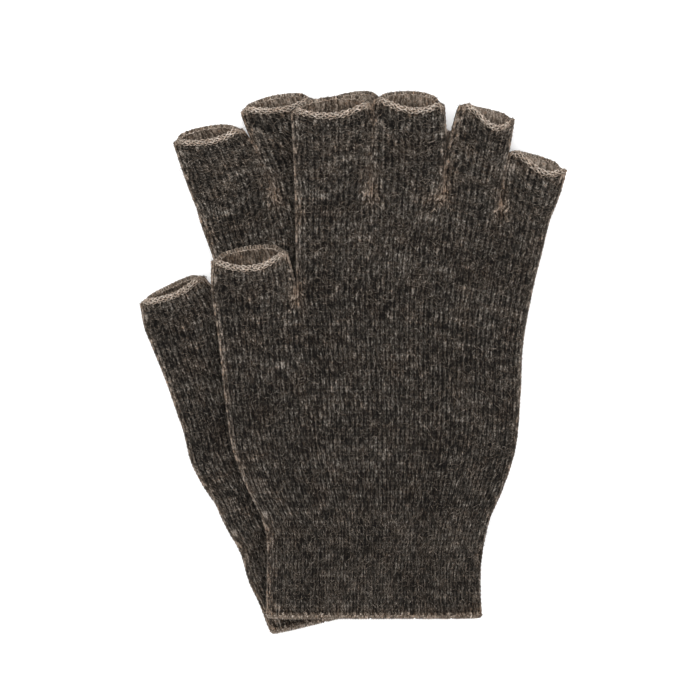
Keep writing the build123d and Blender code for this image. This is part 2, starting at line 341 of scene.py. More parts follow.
class Glove:
    """Where one glove lies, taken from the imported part's joints."""

    def __init__(self, side):
        self.side = side
        joints = {j["name"]: j for j in frame["joints"]}
        if side == "left":
            pin = np.array(joints["left_index_fold"]["pos_m"]) / MM
            turn = math.atan2(*joints["left_index_fold"]["axis"][1::-1])
            home = (np.array(BASES["index"][0]) + np.array(BASES["index"][1])) / 2
        else:
            pin = np.array(joints["right_index_spread"]["pos_m"]) / MM
            other = np.array(joints["right_middle_spread"]["pos_m"]) / MM
            turn = math.atan2(other[1] - pin[1], other[0] - pin[0])
            home = np.array(BASES["index"][0])
        self.turn = turn
        self.height = pin[2]
        self.hand = side + "_hand"
        self.seed = 0 if side == "left" else 7
        c, s = math.cos(turn), math.sin(turn)
        self.origin = pin[:2] - np.array([c * home[0] - s * home[1], s * home[0] + c * home[1]])
        self.sags = side == "left"

    def place(self, x, y, z):
        """Row-frame points, in millimetres, of plan points at a height from the glove's middle plane."""
        x, y, z = np.broadcast_arrays(*(np.asarray(a, float) for a in (x, y, z)))
        if not self.sags:
            edge = smooth_step(-x / 25)
            x = x + CUFF_SHIFT[0] * smooth_step((51 - y) / 15) * smooth_step((y + 12) / 34)
            x = x - WRIST_SHIFT * edge * smooth_step((80 - y) / 16) * smooth_step((y - 8) / 14)
            x = x - INDEX_SHIFT * edge * smooth_step((y - 134) / 18) * smooth_step((178 - y) / 22)
            y = y + CUFF_SHIFT[1] * smooth_step((24 - y) / 24)
        else:
            ex, ey = math.cos(SAG_LEAN), math.sin(SAG_LEAN)
            dx, dy = x - SAG_FOOT[0], y - SAG_FOOT[1]
            s, t = dx * ex + dy * ey, dy * ex - dx * ey
            radius = 2 * SAG_SOFT / SAG_ANGLE
            angle = np.clip((s + SAG_SOFT) / (2 * SAG_SOFT), 0, 1) * SAG_ANGLE
            beyond = np.maximum(s - SAG_SOFT, 0)
            run = np.minimum(s, -SAG_SOFT) + np.where(s > -SAG_SOFT, radius * np.sin(angle), 0)
            run = run + beyond * np.cos(SAG_ANGLE)
            fall = -radius * (1 - np.cos(angle)) - beyond * np.sin(SAG_ANGLE)
            run = run + z * np.sin(angle)
            z = fall + z * np.cos(angle)
            x = SAG_FOOT[0] + run * ex - t * ey
            y = SAG_FOOT[1] + run * ey + t * ex
        c, s = math.cos(self.turn), math.sin(self.turn)
        return np.stack([self.origin[0] + c * x - s * y, self.origin[1] + s * x + c * y, self.height + z], -1)


def ripple(x, y, seed):
    """A gentle unevenness of the lying fabric, from -1 to 1, the same wherever pieces meet."""
    rng = np.random.default_rng(seed)
    total = np.zeros_like(x)
    for size in (46.0, 31.0, 23.0, 17.0, 13.0):
        a, p, q = rng.uniform(0, 2 * math.pi, 3)
        total += np.sin((x * math.cos(a) + y * math.sin(a)) * 2 * math.pi / size + p) * size / 46
        total += np.sin((y * math.cos(a) - x * math.sin(a)) * 2 * math.pi / size * 1.13 + q) * size / 60
    return total / 3.4


def face_point(glove, x, y, e, face):
    """Where the fabric's outer face lies over a plan point, with its ripples."""
    share = (HELD_FLAT if glove.side == "right" and face < 0 else 1.0) * (1.0 if face > 0 else LOW_RIPPLE)
    wave = (ripple(x, y, 11 + glove.seed) - 1) * RIPPLE * e
    return glove.place(x, y, (HALF_THICK * e + wave * share) * face)


def hashed(i, j, seed):
    """A repeatable random number from 0 to 1 for a whole-numbered place."""
    value = np.sin(i * 12.9898 + j * 78.233 + seed * 37.719) * 43758.5453
    return value - np.floor(value)


# How strongly brown fibres gather on each finger's left and right side, where it has a neighbour there
INNER_BAND = {"thumb": (None, 0.0), "index": (0.0, 0.44), "middle": (0.44, 0.12), "ring": (0.12, 0.15)}
INNER_BAND["little"] = (0.15, None)
# How much light falls into each mouth
OPEN_LIGHT = {"thumb": 0.0, "index": 0.5, "middle": 1.2, "ring": 2.6, "little": 2.4}
STITCHES = 10  # joining stitches at a crotch, on each face
FAT_STITCHES = {"index": 3, "middle": 1, "ring": 3, "little": 4}  # the fat ones left of each finger

# ---- Knitting: the face's height by row of a course and column of a wale (between wales, leg, middle, leg)
FACE = np.array([[-0.34, 0.10, -0.02, 0.10], [-0.25, 0.26, -0.16, 0.26], [-0.12, 0.22, -0.30, 0.22]])
SHIFT = np.array([[0.0, 0.09, 0.0, -0.09], [0.0, 0.0, 0.0, 0.0], [0.0, -0.08, 0.0, 0.08]])
PURL = np.array([[0.05, 0.20, 0.26, 0.20], [-0.12, -0.18, -0.20, -0.18], [0.10, -0.12, -0.18, -0.12]])


def crotch_haze(f, share, v):
    """How strongly brown fibres gather along a finger's inner sides, and round the crotches below."""
    start = crotch_course(f)
    width = WALES[f] * WALE
    band, haze = np.zeros_like(share), np.zeros_like(share)
    beside = smooth_step((v - start + 3.0) / 3.0)
    sides = ((share * width, INNER_BAND[f][0]), ((1 - share) * width, INNER_BAND[f][1]))
    for k, (away, strength) in enumerate(sides):
        if strength is None:
            continue
        band = np.maximum(band, strength * np.exp(-((away / 1.9) ** 2)) * beside)
        top = THUMB_TOP if f == "index" and k == 0 else start
        haze = haze + 0.9 * np.exp(-((away / 3.6) ** 2) - ((v - top + 1.6) * COURSE / 4.2) ** 2)
    return band, haze


def sheet_grid(glove, fingers, v0, v1, face, pattern, col_step, row_step):
    """Points of one layer of a stretch, their wale and course, whether each is on a fold, the rows, and how
    close each is to a folded side and to a mouth or the hem."""
    rows = np.arange(round(v0 * ROWS), round(v1 * ROWS) + 1, row_step)
    points, knit, fold, bare = [], [], [], []
    for f in fingers:
        last = f == fingers[-1]
        cols = np.arange(0, WALES[f] * COLS + (1 if last else 0), col_step)
        j, i = np.meshgrid(cols, rows)
        wale = WALE_START[f] + j / COLS
        leg = np.floor(wale * 2)
        course = i // ROWS
        shift = SHIFT[i % ROWS, j % COLS]
        loose = 0.05 * (hashed(leg, course, 3 + glove.seed + face) - 0.5)
        edge = (j == 0) | (j == WALES[f] * COLS)
        q = j / COLS / WALES[f] + np.where(edge, 0, shift + loose * (j % COLS != 0)) / WALES[f]
        v = i / ROWS + 0.10 * (hashed(leg, course, 5 + glove.seed) - 0.5) * (i % ROWS != 0)
        x, y, e, share = plan(glove, f, q, v, face)
        points.append(face_point(glove, x, y, e, face))
        knit.append(np.stack([wale, v], -1))
        fold.append(e < 1e-3)
        close = np.clip(1 - (crotch_course(f) + tube_courses(f) - v) / 4.5, 0, 1) ** 1.5
        close = close + np.clip(1 - (v - 1) / 3.2, 0, 1) * 1.1
        if pattern is PURL:
            # painted light: the purl side near a mouth is lightened by the light that falls into it
            bare.append(np.stack([1 - e, close * OPEN_LIGHT[f]], -1))
        else:
            band, haze = crotch_haze(f, share, v)
            bare.append(np.stack([np.maximum(1 - e, band), close + haze], -1))
    points, knit, fold, bare = (np.concatenate(part, 1) for part in (points, knit, fold, bare))
    return points, knit, fold, rows, bare


def surface_normals(points, face):
    du = np.gradient(points, axis=1)
    dv = np.gradient(points, axis=0)
    return unit(np.cross(du, dv) * face)


def stitch_height(glove, knit, face, pattern, rows):
    """Height of the stitches' relief at grid points."""
    wale = knit[..., 0]
    cols = np.round(wale * COLS).astype(int)
    i = np.broadcast_to(rows[:, None], cols.shape)
    course = i // ROWS
    height = pattern[i % ROWS, cols % COLS]
    leg = np.floor(wale * 2 + 1e-6)
    wild = hashed(leg, course, 9 + glove.seed + face)
    height = height * (0.75 + 0.5 * wild) + 0.10 * (hashed(cols, i, 2 + face) - 0.5)
    rib = np.where(i / ROWS < CUFF_COURSES + 3, 0.16 * np.where((wale % 2) < 1, 1, -1), 0.0)
    calm = np.clip((CUFF_COURSES + 8 - i / ROWS) / 8, 0, 1)
    return height + rib * calm


class Piece:
    """Gathers the grids and strands of one piece, then makes its mesh."""

    def __init__(self, name):
        self.name = name
        self.parts = []
        self.count = 0

    def add(self, co, faces, knit, bake, material=0, fold=None):
        co = np.asarray(co, float).reshape(-1, 3)
        fold = np.zeros((len(co), 2)) if fold is None else fold
        maps = [np.asarray(values, float).reshape(-1, 2) for values in (knit, bake, fold)]
        self.parts.append((co, np.asarray(faces, int) + self.count, np.full(len(faces), material), *maps))
        self.count += len(co)

    def make(self, materials):
        co, faces, slots, *maps = (np.concatenate(part) for part in zip(*self.parts))
        co[:, 2] = np.maximum(co[:, 2], 0.0)
        mesh = bpy.data.meshes.new(self.name)
        mesh.vertices.add(len(co))
        mesh.vertices.foreach_set("co", (co * MM).astype(np.float32).ravel())
        mesh.loops.add(faces.size)
        mesh.loops.foreach_set("vertex_index", faces.astype(np.int32).ravel())
        mesh.polygons.add(len(faces))
        mesh.polygons.foreach_set("loop_start", np.arange(0, faces.size, faces.shape[1], dtype=np.int32))
        mesh.polygons.foreach_set("material_index", slots.astype(np.int32))
        mesh.update(calc_edges=True)
        for label, values in zip(("knit", "OFBake", "fold"), maps):
            layer = mesh.uv_layers.new(name=label, do_init=False)
            layer.uv.foreach_set("vector", values[faces.ravel()].astype(np.float32).ravel())
        mesh.shade_smooth()
        mesh.validate()
        for m in materials:
            mesh.materials.append(m)
        thing = bpy.data.objects.new(self.name, mesh)
        bpy.context.scene.collection.objects.link(thing)
        return thing


def quads(rows, cols):
    i, j = np.meshgrid(np.arange(rows - 1), np.arange(cols - 1), indexing="ij")
    a = (i * cols + j).ravel()
    return np.stack([a, a + 1, a + cols + 1, a + cols], 1)


def add_layer_pair(piece, glove, stretch, offset, pattern, box, relief=1.0, steps=(1, 1), hairs=0, hair_box=()):
    """Adds the top and the bottom layer of a stretch, closed where a side is folded, and any loose fibres.

    A stretch is its fingers, first course and last course. offset is how far the layer lies inside the outer
    face, and steps are the mesh columns and rows it takes."""
    both, bares, knits, folds = [], [], [], []
    for face in (1, -1):
        points, knit, fold, rows, bare = sheet_grid(glove, *stretch, face, pattern, *steps)
        both.append((points, surface_normals(points, face)))
        knits.append(knit)
        folds.append(fold)
        bares.append(bare)
    top, low = both[0][0], both[1][0]
    edge = folds[0] & folds[1]
    across = unit(top[:, -1:] - top[:, :1])
    cols = top.shape[1]
    outward = np.where(np.arange(cols)[None, :, None] < cols / 2, -across, across)
    shape = top.shape[:2]
    for k, (points, normal) in enumerate(both):
        face = 1 - 2 * k
        normal = np.where(edge[..., None], outward, normal)
        height = stitch_height(glove, knits[k], face, pattern, rows) * relief
        height = np.where(edge, 0.0, height)
        if offset:
            room = np.abs(np.sum((points - low if face > 0 else points - top) * normal, -1)) / 2
            height = height * 0.8 + np.minimum(offset, np.where(edge, offset, room * 0.8))
            points = points - normal * height[..., None]
        else:
            points = points + normal * height[..., None]
        first = points if k == 0 else first
        points = np.where(edge[..., None], first, points)
        i, j = np.meshgrid(np.arange(shape[0]), np.arange(shape[1]), indexing="ij")
        u0, w0, u1, w1 = box
        half = (u1 - u0) / 2
        u = u0 + half * (k + 0.01 + 0.98 * j / (shape[1] - 1))
        w = w0 + (w1 - w0) * i / (shape[0] - 1)
        face_list = quads(*shape)
        if (face < 0) != bool(offset):
            face_list = face_list[:, ::-1]
        knit = knits[k] + [0, 400 * k]
        piece.add(points, face_list, knit, np.stack([u, w], -1), 1 if offset else 0, bares[k])
        if hairs:
            u0, w0, u1, w1 = hair_box
            half = (w1 - w0) / 2
            own_box = (u0, w0 + half * k + 0.001, u1, w0 + half * (k + 1))
            count = int(hairs * (1.0 if face > 0 else LOW_HAIRS))
            surface_hairs(piece, points, normal, bares[k][..., 0], count, own_box, seed=stretch[1] + k)


def weld(thing, distance=0.004):
    """Joins vertices that lie on each other, along the folded sides."""
    mesh = bmesh.new()
    mesh.from_mesh(thing.data)
    bmesh.ops.remove_doubles(mesh, verts=mesh.verts, dist=distance * MM)
    mesh.to_mesh(thing.data)
    mesh.free()
    thing.data.shade_smooth()


# ---- Loose fibres
HAIR_SLOT = 2  # their place among each piece's materials


def ribbons(piece, path, normal, width, box, seed):
    """Many short fibres at once: path and normal are arrays of fibre, point and coordinate."""
    n, m = path.shape[:2]
    tangent = np.gradient(path, axis=1)
    side = unit(np.cross(tangent, normal))
    s = np.linspace(0, 1, m)
    taper = 0.25 + 0.75 * np.sin(np.pi * (0.08 + 0.84 * s))
    half = side * (np.asarray(width)[:, None] * taper[None] / 2)[..., None]
    co = np.stack([path - half, path + half], 2)
    k, i = np.meshgrid(np.arange(n), np.arange(m - 1), indexing="ij")
    a = ((k * m + i) * 2).ravel()
    faces = np.stack([a, a + 1, a + 3, a + 2], 1)
    across = math.ceil(math.sqrt(n / 4))
    down = math.ceil(n / across)
    u0, w0, u1, w1 = box
    cell_u, cell_w = (u1 - u0) / across, (w1 - w0) / down
    index = np.arange(n)
    full = np.zeros((n, m, 2))
    u = u0 + ((index % across)[:, None, None] + 0.05 + 0.9 * s[None, :, None]) * cell_u + full
    w = w0 + ((index // across)[:, None, None] + np.array([0.1, 0.9])) * cell_w + full
    length = s[None, :, None] * 4 + full
    own = (index * 1.7 + seed * 3.1)[:, None, None] + full
    piece.add(co, faces, np.stack([length, own], -1), np.stack([u, w], -1), HAIR_SLOT)


def surface_hairs(piece, points, normal, bare, count, box, seed):
    """Fibres that wander over a layer, a little above it, and stand off it more at its folded sides."""
    rng = np.random.default_rng(1000 + int(seed * 7))
    rows, cols = points.shape[:2]
    i = rng.uniform(1, rows - 2, count)
    j = rng.uniform(1, cols - 2, count)
    steps = 6
    length = rng.uniform(1.2, 5.0, count)
    heading = rng.uniform(0, 2 * math.pi, count)
    curl = rng.normal(0, 0.55, count)
    row_size, col_size = COURSE / ROWS, 1.9 / COLS
    top = rng.uniform(0.15, 0.5, count)
    path = np.empty((count, steps + 1, 3))
    way = np.empty((count, steps + 1, 3))
    for k in range(steps + 1):
        ic, jc = np.clip(i, 0, rows - 1.001), np.clip(j, 0, cols - 1.001)
        a, b = ic.astype(int), jc.astype(int)
        s, t = (ic - a)[:, None], (jc - b)[:, None]

        def at(grid):
            low = grid[a, b] * (1 - t) + grid[a, b + 1] * t
            return low * (1 - s) + (grid[a + 1, b] * (1 - t) + grid[a + 1, b + 1] * t) * s

        n = unit(at(normal))
        open_side = at(bare[..., None])[:, 0]
        rise = top * math.sin(math.pi * (0.1 + 0.8 * k / steps)) * (1 + 1.6 * open_side**2) + 0.12
        path[:, k] = at(points) + n * rise[:, None]
        way[:, k] = n
        i = i + np.sin(heading) * length / steps / row_size
        j = j + np.cos(heading) * length / steps / col_size
        heading = heading + curl * length / steps + rng.normal(0, 0.25, count)
    inside = (i > 0) & (i < rows - 1) & (j > 0) & (j < cols - 1)
    width = rng.uniform(0.06, 0.12, count)
    ribbons(piece, path[inside], way[inside], width[inside], box, seed)


def rim_hairs(piece, centre, along, out, wall, count, box, seed):
    """Fibres that stand out of a mouth's edge."""
    rng = np.random.default_rng(3000 + seed)
    k = rng.integers(0, len(centre), count)
    steps = 5
    s = np.linspace(0, 1, steps + 1)
    length = rng.uniform(0.6, 2.2, count)
    aim = along[k] * rng.normal(0, 1.3, (count, 1)) + out[k] * rng.uniform(-0.6, 0.45, (count, 1))
    aim = unit(aim + wall[k] * rng.uniform(-0.35, 0.55, (count, 1)))
    bend = np.cross(aim, rng.normal(0, 1, (count, 3)))
    start = centre[k] + wall[k] * rng.uniform(0.0, 0.6, (count, 1))
    start = start + out[k] * rng.uniform(-0.4, 0.4, (count, 1))
    path = start[:, None] + aim[:, None] * (length[:, None] * s[None])[..., None]
    path = path + bend[:, None] * (0.3 * length[:, None] * (s * (1 - s) * 1.6)[None])[..., None]
    facing = np.broadcast_to(np.array([0.0, 0.0, 1.0]), path.shape)
    ribbons(piece, path, facing, rng.uniform(0.07, 0.14, count), box, seed)


# ---- Strands of yarn
def strand(piece, path, radius, box, seed, sides=6, closed=True, material=0, lumps=0.12, painted_shade=None):
    """A yarn along a path of points, which is a closed line or has two ends."""
    n = len(path)
    tangent = round_loop(path) if closed else unit(np.gradient(path, axis=0))
    normal = np.zeros_like(path)
    guess = np.array([0.0, 0.0, 1.0])
    if abs(tangent[0] @ guess) > 0.9:
        guess = np.array([1.0, 0.0, 0.0])
    for k in range(n):
        guess = guess - (guess @ tangent[k]) * tangent[k]
        guess = guess / np.linalg.norm(guess)
        normal[k] = guess
    side = np.cross(tangent, normal)
    if closed:
        end = normal[0] - (normal[0] @ tangent[-1]) * tangent[-1]
        twist = math.atan2(np.cross(normal[-1], end) @ tangent[-1], normal[-1] @ end)
        angles = np.linspace(0, twist, n)
        c, s = np.cos(angles)[:, None], np.sin(angles)[:, None]
        normal, side = normal * c + side * s, side * c - normal * s
    rng = np.random.default_rng(seed + 100)
    size = radius * (1 + lumps * (rng.random(n) - 0.5) * 2)
    if not closed:
        size[0] *= 0.35
        size[-1] *= 0.35
    angle = np.arange(sides + 1) / sides * 2 * math.pi
    ring = np.cos(angle)[None, :, None] * normal[:, None] + np.sin(angle)[None, :, None] * side[:, None]
    rings = path[:, None] + ring * size[:, None, None]
    if closed:
        rings = np.concatenate([rings, rings[:1]])
    length = np.concatenate([[0], np.cumsum(np.linalg.norm(np.diff(rings[:, 0], axis=0), axis=1))])
    m = len(rings)
    u = np.broadcast_to((length / max(length[-1], 1e-6))[:, None], (m, sides + 1))
    w = np.broadcast_to(np.arange(sides + 1)[None] / sides, (m, sides + 1))
    u0, w0, u1, w1 = box
    bake = np.stack([u0 + (u1 - u0) * u, w0 + (w1 - w0) * w], -1)
    knit = np.stack([np.broadcast_to(length[:, None], (m, sides + 1)), w + seed * 3.7], -1)
    fold = np.zeros((m, sides + 1, 2))
    # painted shade for the yarn, carried to its material in the fold map
    if painted_shade is not None:
        fold[..., 0] = np.concatenate([painted_shade, painted_shade[:1]])[:m, None]
    piece.add(rings, quads(m, sides + 1), knit, bake, material, fold)


def outwards(points, wall):
    """Unit directions out of a closed line's wall, pointed away from its middle."""
    wall = unit(wall)
    return -wall if np.mean(np.sum((points - points.mean(0)) * wall, 1)) < 0 else wall


def rim_frame(glove, f, back, inward):
    """The closed line round a mouth, with directions along it, out of the finger and out of the wall."""
    v = crotch_course(f) + tube_courses(f)
    n = WALES[f] * 8
    q = np.arange(n) / n
    loops = []
    for step in (0.0, -0.7):
        top = plan(glove, f, q, v + step, 1)[:3]
        low = plan(glove, f, 1 - q, v + step, -1)[:3]
        # Painted shade on the mouth's yarns: full at the folded sides, and at least 0.42 along the back lip
        painted_shade = np.concatenate([1 - top[2], np.minimum(1 - low[2] + 0.42, 1)])
        loops.append(np.concatenate([face_point(glove, *top, 1), face_point(glove, *low, -1)]))
    rim, behind = loops
    out, along = unit(rim - behind), round_loop(rim)
    wall = outwards(rim, np.cross(out, along))
    wales = np.concatenate([q * WALES[f], WALES[f] + q * WALES[f]])
    centre = rim - out * back - wall * inward
    return centre, along, out, wall, wales, painted_shade


# ---- Materials
def feed(tree, socket, value):
    """Links a node's output to a socket, or sets the socket's number or colour."""
    if isinstance(value, (int, float)):
        socket.default_value = value
    elif isinstance(value, tuple):
        socket.default_value = (*value, 1)
    else:
        tree.links.new(value, socket)


def math_node(tree, operation, *values):
    made = tree.nodes.new("ShaderNodeMath")
    made.operation = operation
    for socket, value in zip(made.inputs, values):
        feed(tree, socket, value)
    return made.outputs[0]


def noise(tree, place, detail, rough):
    """Noise at a place given by its three coordinates."""
    vector = tree.nodes.new("ShaderNodeCombineXYZ")
    for socket, value in zip(vector.inputs, place):
        feed(tree, socket, value)
    made = tree.nodes.new("ShaderNodeTexNoise")
    for label, value in (("Vector", vector.outputs[0]), ("Scale", 1.0), ("Detail", detail), ("Roughness", rough)):
        feed(tree, made.inputs[label], value)
    return made.outputs["Fac"]


def ramp(tree, value, tones):
    made = tree.nodes.new("ShaderNodeValToRGB")
    bar = made.color_ramp
    while len(bar.elements) < len(tones):
        bar.elements.new(0.5)
    for element, (place, colour) in zip(bar.elements, tones):
        element.position = place
        element.color = (*colour, 1)
    tree.links.new(value, made.inputs["Fac"])
    return made.outputs["Color"]


def mix(tree, factor, a, b, kind="MIX"):
    made = tree.nodes.new("ShaderNodeMix")
    made.data_type = "RGBA"
    made.blend_type = kind
    for k, value in ((0, factor), (6, a), (7, b)):
        feed(tree, made.inputs[k], value)
    return made.outputs[2]


def grey(r, g, b):
    """A colour given as it looks on screen, 0 to 255, as linear light."""
    shown = [c / 255 for c in (r, g, b)]
    return tuple(c / 12.92 if c <= 0.04045 else ((c + 0.055) / 1.055) ** 2.4 for c in shown)


def stops(*rows):
    """A colour ramp's stops, each a place and a colour as it looks on screen."""
    return [(place, grey(*colour)) for place, *colour in rows]


def times(tree, value, factor):
    return math_node(tree, "MULTIPLY", value, factor)


def plus(tree, value, factor, total):
    return math_node(tree, "MULTIPLY_ADD", value, factor, total)


def uv_parts(tree, label):
    """A UV map, split into its two values."""
    uv = tree.nodes.new("ShaderNodeUVMap")
    uv.uv_map = label
    split = tree.nodes.new("ShaderNodeSeparateXYZ")
    tree.links.new(uv.outputs["UV"], split.inputs[0])
    return split


def wool(name, tones, purl=False, yarn=False, brown=0.35, seed=0.0, sheen=0.10, lift=0.0):
    """Marled, slightly hairy wool. The knit map gives wale and course, or length and turn on a yarn.

    The fold map gives how close a point is to a folded side and to a mouth or hem, or how much painted shade
    darkens a yarn."""
    material = bpy.data.materials.new(name)
    material.use_nodes = True
    tree = material.node_tree
    shader = tree.nodes["Principled BSDF"]
    split, side = (uv_parts(tree, label) for label in ("knit", "fold"))
    u, v = split.outputs[0], split.outputs[1]

    def field(across, along, own, detail=2.0, rough=0.5):
        return noise(tree, (times(tree, u, across), times(tree, v, along), seed + own), detail, rough)

    def total(start, *terms):
        for value, factor in terms:
            start = plus(tree, value, factor, start)
        return start

    if yarn:
        streak = field(0.9, 1.3, 0.0, 3, 0.6)
        fine = field(3.4, 3.0, 5.0, 3, 0.6)
        patch = field(0.23, 0.4, 9.0)
        # the fold map's first value is painted shade, which darkens the yarn
        tone = total(-1.10 + lift, (streak, 2.2), (fine, 0.9), (patch, 0.5), (side.outputs[0], -0.55))
        tone = math_node(tree, "SUBTRACT", tone, 0.2)
        height = fine
    else:
        drift = field(0.8, 0.7, 3.0)
        bent = plus(tree, drift, 0.55, math_node(tree, "SUBTRACT", u, 0.275))
        leaf = math_node(tree, "FRACT", times(tree, bent, 2.0))
        bow = math_node(tree, "SINE", times(tree, leaf, math.pi))
        wide = math_node(tree, "SINE", times(tree, math_node(tree, "FRACT", bent), math.pi))
        lean = math_node(tree, "ABSOLUTE", math_node(tree, "SUBTRACT", math_node(tree, "FRACT", bent), 0.5))
        jog = field(1.3, 1.1, 13.0)
        phase = plus(tree, lean, 1.0 if purl else -1.2, v)
        phase = math_node(tree, "FRACT", plus(tree, jog, 0.9, phase))
        ply = math_node(tree, "SINE", times(tree, phase, math.pi))
        leg = math_node(tree, "MULTIPLY", bow, ply)
        streak = field(STREAK[0], STREAK[1], 0.0, 2, 0.55)
        fine = field(7.0, 4.2, 5.0, 3, 0.65)
        patch = field(0.12, 0.085, 9.0, 3)
        blotch = field(0.55, 0.42, 15.0)
        tone = total(lift - 0.5 * sum(GAINS) + LEVEL, *zip((streak, fine, patch, blotch), GAINS))
        # Painted shade: the tone is lighter on the stitches' legs and darker in the valleys between legs, wales
        # and courses
        tone = total(tone, (leg, 0.22), (wide, 0.34))
        fleck = field(2.2, 1.4, 29.0, 1)
        fleck = math_node(tree, "MAXIMUM", plus(tree, fleck, 5.0, -3.35), 0.0)
        tone = total(tone, (fleck, 0.55), (math_node(tree, "MODULO", v, 400.0), 0.0004))
        # Painted highlight: knit and purl turn lighter, in patches, towards a folded side; the same value also
        # carries the real brown fibres along the fingers' inner sides
        near = math_node(tree, "POWER", side.outputs[0], 1.1)
        near = times(tree, near, total(-0.35, (streak, 0.9), (blotch, 0.9)))
        # On the purl side the second value is painted light, falling into a mouth; on the knit face it lightens
        # towards a mouth, the hem and the crotches' brown fibres
        tone = total(tone, (near, FOLD_HIGHLIGHT_PAINT), (side.outputs[1], 0.30 if purl else 0.10))
        turned = tree.nodes.new("ShaderNodeMapRange")
        turned.interpolation_type = "SMOOTHSTEP"
        for socket, value in zip(turned.inputs, (side.outputs[0], *FOLD_CALM)):
            feed(tree, socket, value)
        turned = turned.outputs["Result"]
        off = math_node(tree, "MULTIPLY", math_node(tree, "SUBTRACT", tone, 0.5), turned)
        tone = plus(tree, off, -0.68, tone)
        height = total(times(tree, fine, 1.0), (leg, 0.9), (streak, 0.7))
    colour = ramp(tree, tone, tones)
    warm = field(0.21, 0.17, 19.0)
    tint = field(1.9, 1.2, 23.0)
    warmth = plus(tree, warm, brown * 4.0, -1.85 * brown)
    warmth = plus(tree, math_node(tree, "GREATER_THAN", tint, 0.58), brown * 1.3, warmth)
    if not yarn:
        near_hem = 0.0 if purl else 0.5
        # Warmer towards a folded side, as part of the painted highlight there and along the real brown fibres of
        # the inner sides; warmer also towards a mouth, the hem and the crotches' brown fibres
        warmth = total(warmth, (side.outputs[0], 0.7), (side.outputs[1], near_hem), (turned, -0.45))
    made = tree.nodes.new("ShaderNodeClamp")
    tree.links.new(warmth, made.inputs[0])
    bump = tree.nodes.new("ShaderNodeBump")
    for label, value in (("Strength", 0.6), ("Distance", 0.00025), ("Height", height)):
        feed(tree, bump.inputs[label], value)
    wanted = {
        "Normal": bump.outputs[0],
        "Base Color": mix(tree, made.outputs[0], colour, mix(tree, 1.0, colour, grey(250, 222, 200), "MULTIPLY")),
        "Roughness": plus(tree, fine, 0.2, 0.78),
        "Sheen Weight": sheen,
        "Sheen Roughness": 0.5,
        "Sheen Tint": grey(225, 214, 202),
        "Specular IOR Level": 0.06,
    }
    for label, value in wanted.items():
        feed(tree, shader.inputs[label], value)
    return material


STREAK = (2.8, 0.50)  # how often the marl changes across a wale and along the courses
GAINS = (1.8, 1.7, 0.5, 0.8)  # how much the streaks, fine grain, patches and blotches change the tone
LEVEL = 0.02  # lightens all the knitting
FOLD_HIGHLIGHT_PAINT = 1.0  # how much painted highlight lightens the knit towards a folded side
FOLD_CALM = (0.60, 0.92)  # the closeness to a folded side over which the marl calms down
CHARCOAL = stops((0, 9, 8, 7), (0.25, 26, 24, 21), (0.50, 49, 45, 41), (0.75, 82, 77, 71), (1, 150, 143, 135))
PURL_TONE = stops((0.00, 40, 34, 29), (0.30, 68, 60, 52), (0.60, 102, 91, 81), (1.00, 156, 144, 132))
EDGE_TONE = stops((0.00, 84, 74, 65), (0.30, 138, 126, 114), (0.60, 184, 172, 160), (1.00, 226, 218, 209))
HEM_TONE = stops((0.00, 30, 26, 22), (0.30, 72, 64, 56), (0.60, 120, 109, 98), (1.00, 200, 188, 176))
JOIN_TONE = stops((0.00, 52, 45, 38), (0.35, 104, 93, 82), (0.65, 148, 135, 123), (1.00, 196, 185, 173))
HAIR_TONE = stops((0.00, 22, 19, 17), (0.35, 58, 52, 46), (0.65, 104, 96, 87), (1.00, 184, 175, 166))
ELASTIC_TONE = stops((0.1, 14, 12, 11), (0.9, 70, 64, 58))
knit_face = wool("knit_wool", CHARCOAL)
knit_purl = wool("purl_side", PURL_TONE, purl=True, seed=31.0)
edge_yarn = wool("edge_yarn", EDGE_TONE, yarn=True, seed=52.0)
hem_yarn = wool("welt_yarn", HEM_TONE, seed=74.0, lift=0.05)
join_yarn = wool("joining_yarn", JOIN_TONE, yarn=True, seed=91.0, lift=-0.02)
dark_yarn = wool("elastic_yarn", ELASTIC_TONE, yarn=True, seed=15.0, sheen=0.05)
hem_strand = wool("welt_strand", HEM_TONE, yarn=True, seed=77.0)
hair = wool("loose_hair", HAIR_TONE, yarn=True, seed=7.0)


# ---- Pieces
HAIR_BOX = (0.80, 0.80, 1.0, 1.0)  # the loose fibres' share of a tube's bake map
HAIRS_PER_AREA = 0.40  # per square millimetre of an upper face
LOW_HAIRS = 0.35  # the share of that on a lower face


def attach(thing, node_name, body):
    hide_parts(node_name)
    if body:
        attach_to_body(thing, body)


def line_frame(glove, f):
    """The middle of a finger's base line and the direction into the finger, in the row frame."""
    (x0, y0), (x1, y1) = BASES[f]
    slope = math.atan2(y1 - y0, x1 - x0)
    mx, my = (x0 + x1) / 2, (y0 + y1) / 2
    a = glove.place(mx, my, 0.0)
    return a, unit(glove.place(mx - math.sin(slope), my + math.cos(slope), 0.0) - a)


BEND_BELOW, BEND_ABOVE = 5.0, 7.0  # how far a bend would reach below and above a finger's base line; no bend is made with them here
STUB_COURSES = 4  # how far below its base line a finger's own fabric begins


def make_finger(glove, f):
    name = f"{glove.side}_{f}"
    start = crotch_course(f)
    end = start + tube_courses(f) - 1 / ROWS
    piece = Piece(name + "_tube")
    count = WALES[f] * WALE * (end - start + STUB_COURSES) * COURSE * HAIRS_PER_AREA
    outer = ([f], start - STUB_COURSES, end)
    add_layer_pair(piece, glove, outer, 0.0, FACE, (0, 0, 0.78, 1), hairs=count, hair_box=HAIR_BOX)
    add_layer_pair(piece, glove, ([f], start + 1, end), WALL, PURL, (0.80, 0.0, 1.0, 0.78))
    thing = piece.make([knit_face, knit_purl, hair])
    weld(thing)
    attach(thing, name, None)
    middle, into = line_frame(glove, f)
    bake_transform(thing)


